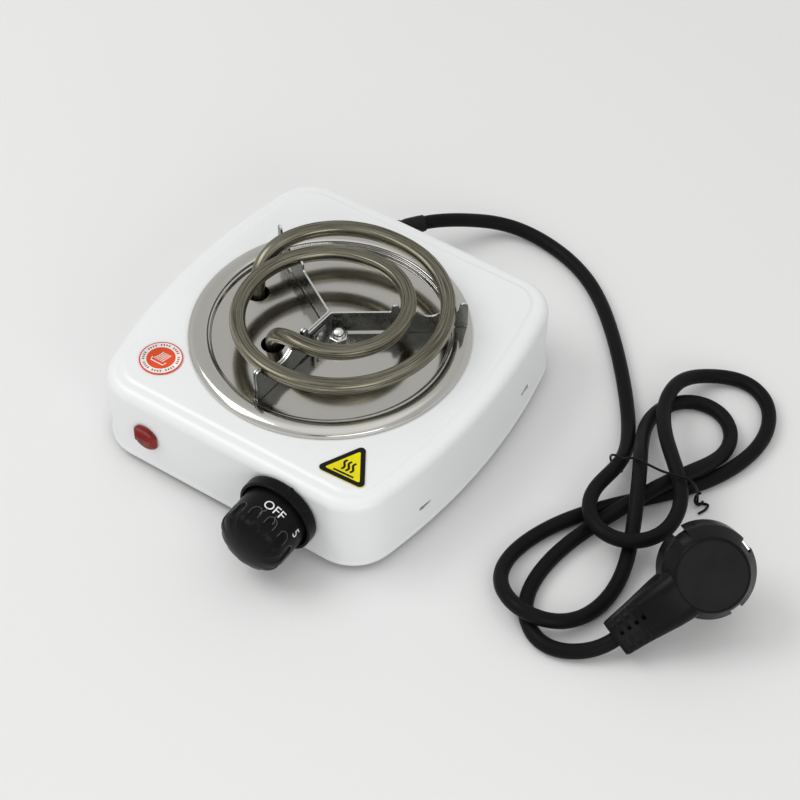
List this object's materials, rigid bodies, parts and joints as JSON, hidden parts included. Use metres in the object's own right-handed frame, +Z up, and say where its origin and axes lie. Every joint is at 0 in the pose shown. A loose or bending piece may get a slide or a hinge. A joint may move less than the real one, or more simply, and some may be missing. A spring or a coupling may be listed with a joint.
{
  "type": "hot plate burner",
  "caption": "Portable electric hot plate: enamelled steel box, spiral heating coil over a bright drip pan, thermostat dial, red lamp and black mains lead.",
  "frame": {"origin": "on the surface that the appliance stands on, under the middle of the appliance without its mains lead", "axes": "+Z up, -Y the front with the dial, +X to the right when seen from the front"},
  "size_m": [0.2955, 0.2485, 0.0615],
  "materials": {
    "enamel": "glossy white enamel",
    "plated_steel": "satin plated sheet steel",
    "pan_steel": "bright stainless steel",
    "coil_sheath": "brown-grey heat-tinted metal tube with fine lengthwise streaks",
    "black_plastic": "black moulded plastic",
    "black_rubber": "black rubber",
    "cord_jacket": "black rubber cord jacket",
    "red_lens": "translucent red faceted plastic",
    "lamp_glass": "clear glass",
    "warning_film": "yellow printed film",
    "caution_film": "orange-red printed film",
    "ceramic": "cream ceramic",
    "brass": "bare brass",
    "wire_brown": "brown insulation",
    "wire_blue": "blue insulation",
    "wire_earth": "green and yellow insulation",
    "wire_sleeve": "woven glass sleeve",
    "pin_nickel": "nickel-plated pins"
  },
  "bodies": {
    "appliance": {"top_housing": "enamel", "base_plate": "plated_steel", "foot_front_left": "black_rubber", "foot_front_right": "black_rubber", "foot_back_left": "black_rubber", "foot_back_right": "black_rubber", "drip_pan": "pan_steel", "heating_coil": "coil_sheath", "coil_seal_inner": "ceramic", "coil_seal_outer": "ceramic", "coil_pin_inner": "plated_steel", "coil_pin_outer": "plated_steel", "support_strip_right": "plated_steel", "support_strip_left": "plated_steel", "hub_clip": "plated_steel", "hub_rivet": "plated_steel", "hub_washer": "pan_steel", "hub_nut": "pan_steel", "centre_bolt": "plated_steel", "centre_spacer": "plated_steel", "knob_bezel": "black_plastic", "thermostat_frame": "plated_steel", "thermostat_screw_left": "plated_steel", "thermostat_screw_right": "plated_steel", "thermostat_stack": "ceramic", "bimetal_blade": "brass", "contact_blade": "brass", "indicator_lens": "red_lens", "indicator_lamp": "lamp_glass", "indicator_clip": "plated_steel", "strain_relief": "black_rubber", "cord_tail": "cord_jacket", "cord_clamp_base": "black_plastic", "cord_clamp_bar": "black_plastic", "cord_clamp_screw_left": "plated_steel", "cord_clamp_screw_right": "plated_steel", "live_wire": "wire_brown", "heater_wire": "wire_sleeve", "neutral_wire": "wire_blue", "earth_wire": "wire_earth", "lamp_wire_live": "wire_brown", "lamp_wire_neutral": "wire_blue", "earth_tag": "brass", "earth_screw": "plated_steel", "hot_surface_label": "warning_film", "caution_label": "caution_film", "power_cord": "cord_jacket", "plug_body": "black_plastic", "plug_pin_left": "pin_nickel", "plug_pin_right": "pin_nickel", "plug_earth_clip_rear": "pin_nickel", "plug_earth_clip_neck": "pin_nickel", "twist_tie": "black_plastic"},
    "dial": {"knob": "black_plastic", "thermostat_shaft": "plated_steel"}
  },
  "joints": [
    {"name": "dial_turn", "type": "hinge", "parent": "appliance", "child": "dial", "pos_m": [0.031, -0.06475, 0.0236], "axis": [0, 1, 0], "range_deg": [0, 306]}
  ]
}
